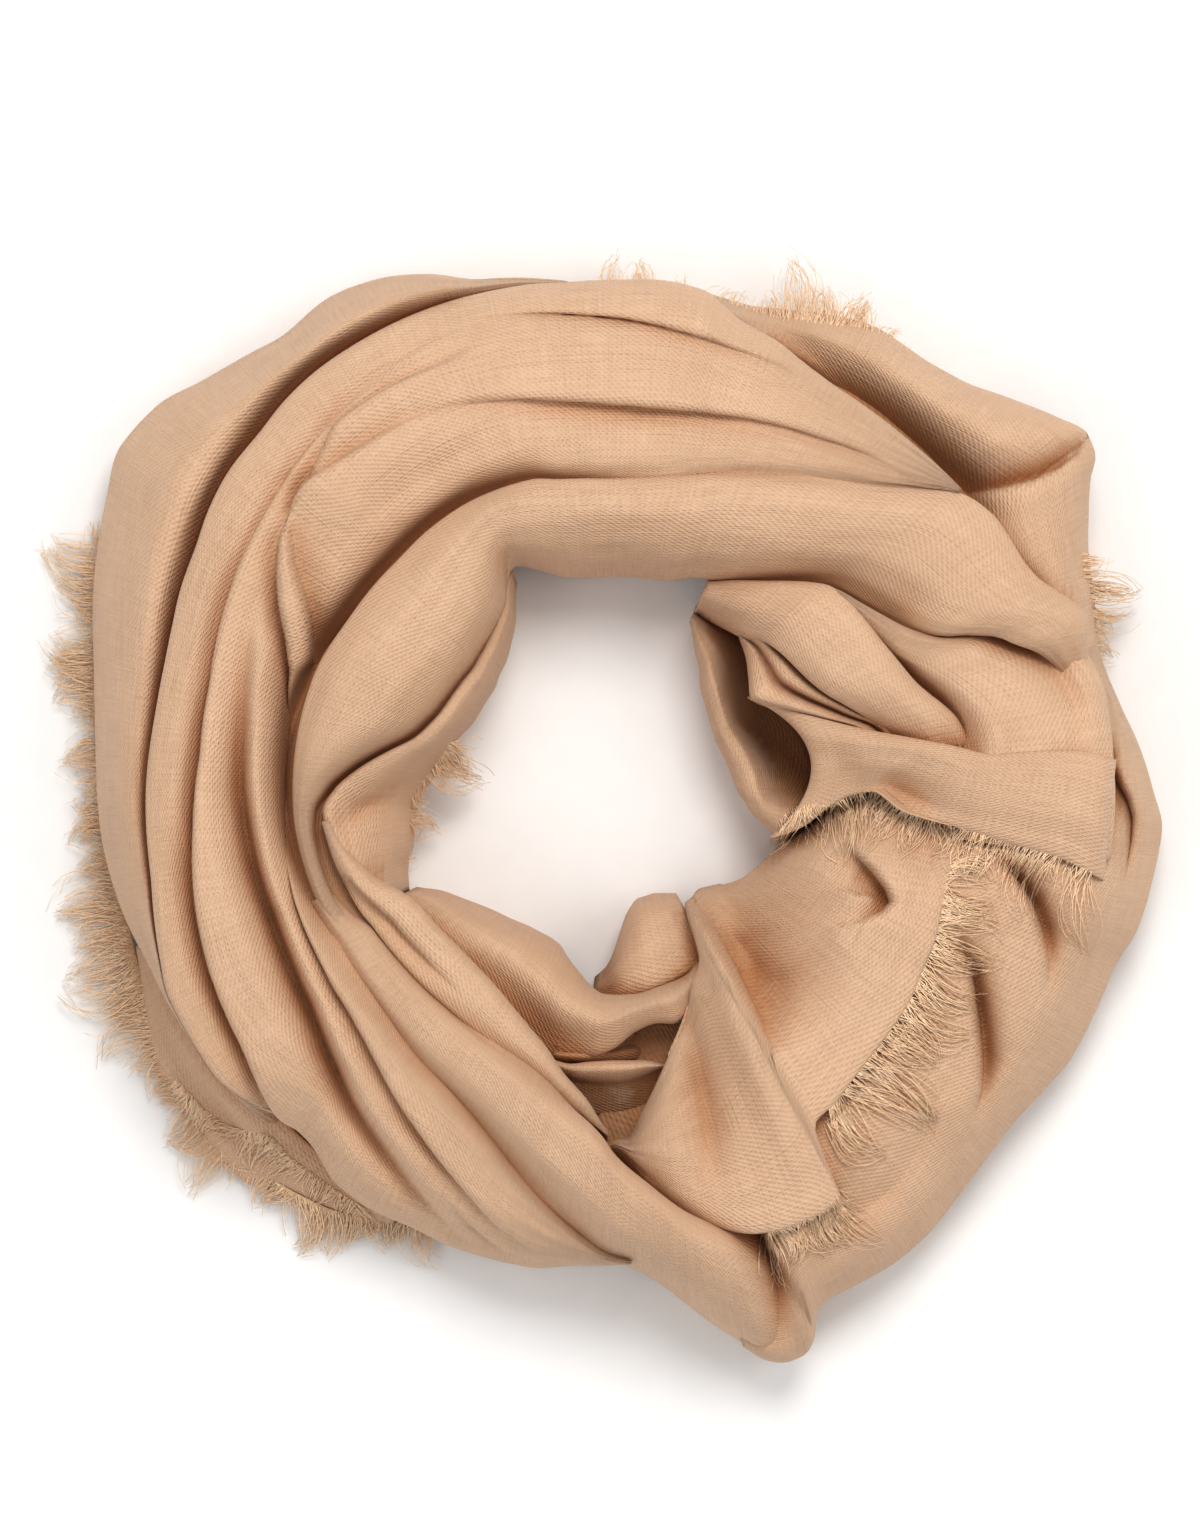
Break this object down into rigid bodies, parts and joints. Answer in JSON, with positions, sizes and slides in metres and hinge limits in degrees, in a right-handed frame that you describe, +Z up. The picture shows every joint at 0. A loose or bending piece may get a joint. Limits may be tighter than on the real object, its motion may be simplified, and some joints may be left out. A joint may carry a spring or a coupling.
{
  "type": "silk scarf",
  "caption": "Large square scarf of plain silk twill with a frayed fringe, wound about twice round into a loose ring and laid flat.",
  "frame": {"origin": "on the surface it lies on, under the middle of its box", "axes": "+Z up through the ring's hole, +Y towards the top of the picture, +X towards its right"},
  "size_m": [0.3921, 0.3889, 0.08],
  "materials": {
    "silk_twill": "soft sheen",
    "silk_fringe": "matte",
    "silk_hidden": "soft sheen"
  },
  "bodies": {
    "root": {"core": "silk_hidden", "left_band": "silk_twill", "left_pleats": "silk_twill", "top_bands": "silk_twill", "inner_roll": "silk_twill", "hook_fold": "silk_twill", "hook_ridge": "silk_twill", "hole_flap": "silk_twill", "bottom_roll": "silk_twill", "lower_roll": "silk_twill", "pocket_band": "silk_twill", "hole_roll": "silk_twill", "under_hem": "silk_twill", "main_band": "silk_twill", "right_shoulder": "silk_twill", "end_upper": "silk_twill", "twist_band": "silk_twill", "small_folds": "silk_twill", "inner_wall": "silk_twill", "end_lower": "silk_twill", "right_panel": "silk_twill", "right_edge": "silk_twill", "corner_flap": "silk_twill", "fringe_left": "silk_fringe", "fringe_top": "silk_fringe", "fringe_right": "silk_fringe", "fringe_hole": "silk_fringe", "fringe_end_upper": "silk_fringe", "fringe_end_lower": "silk_fringe", "fringe_bottom": "silk_fringe"}
  },
  "joints": []
}
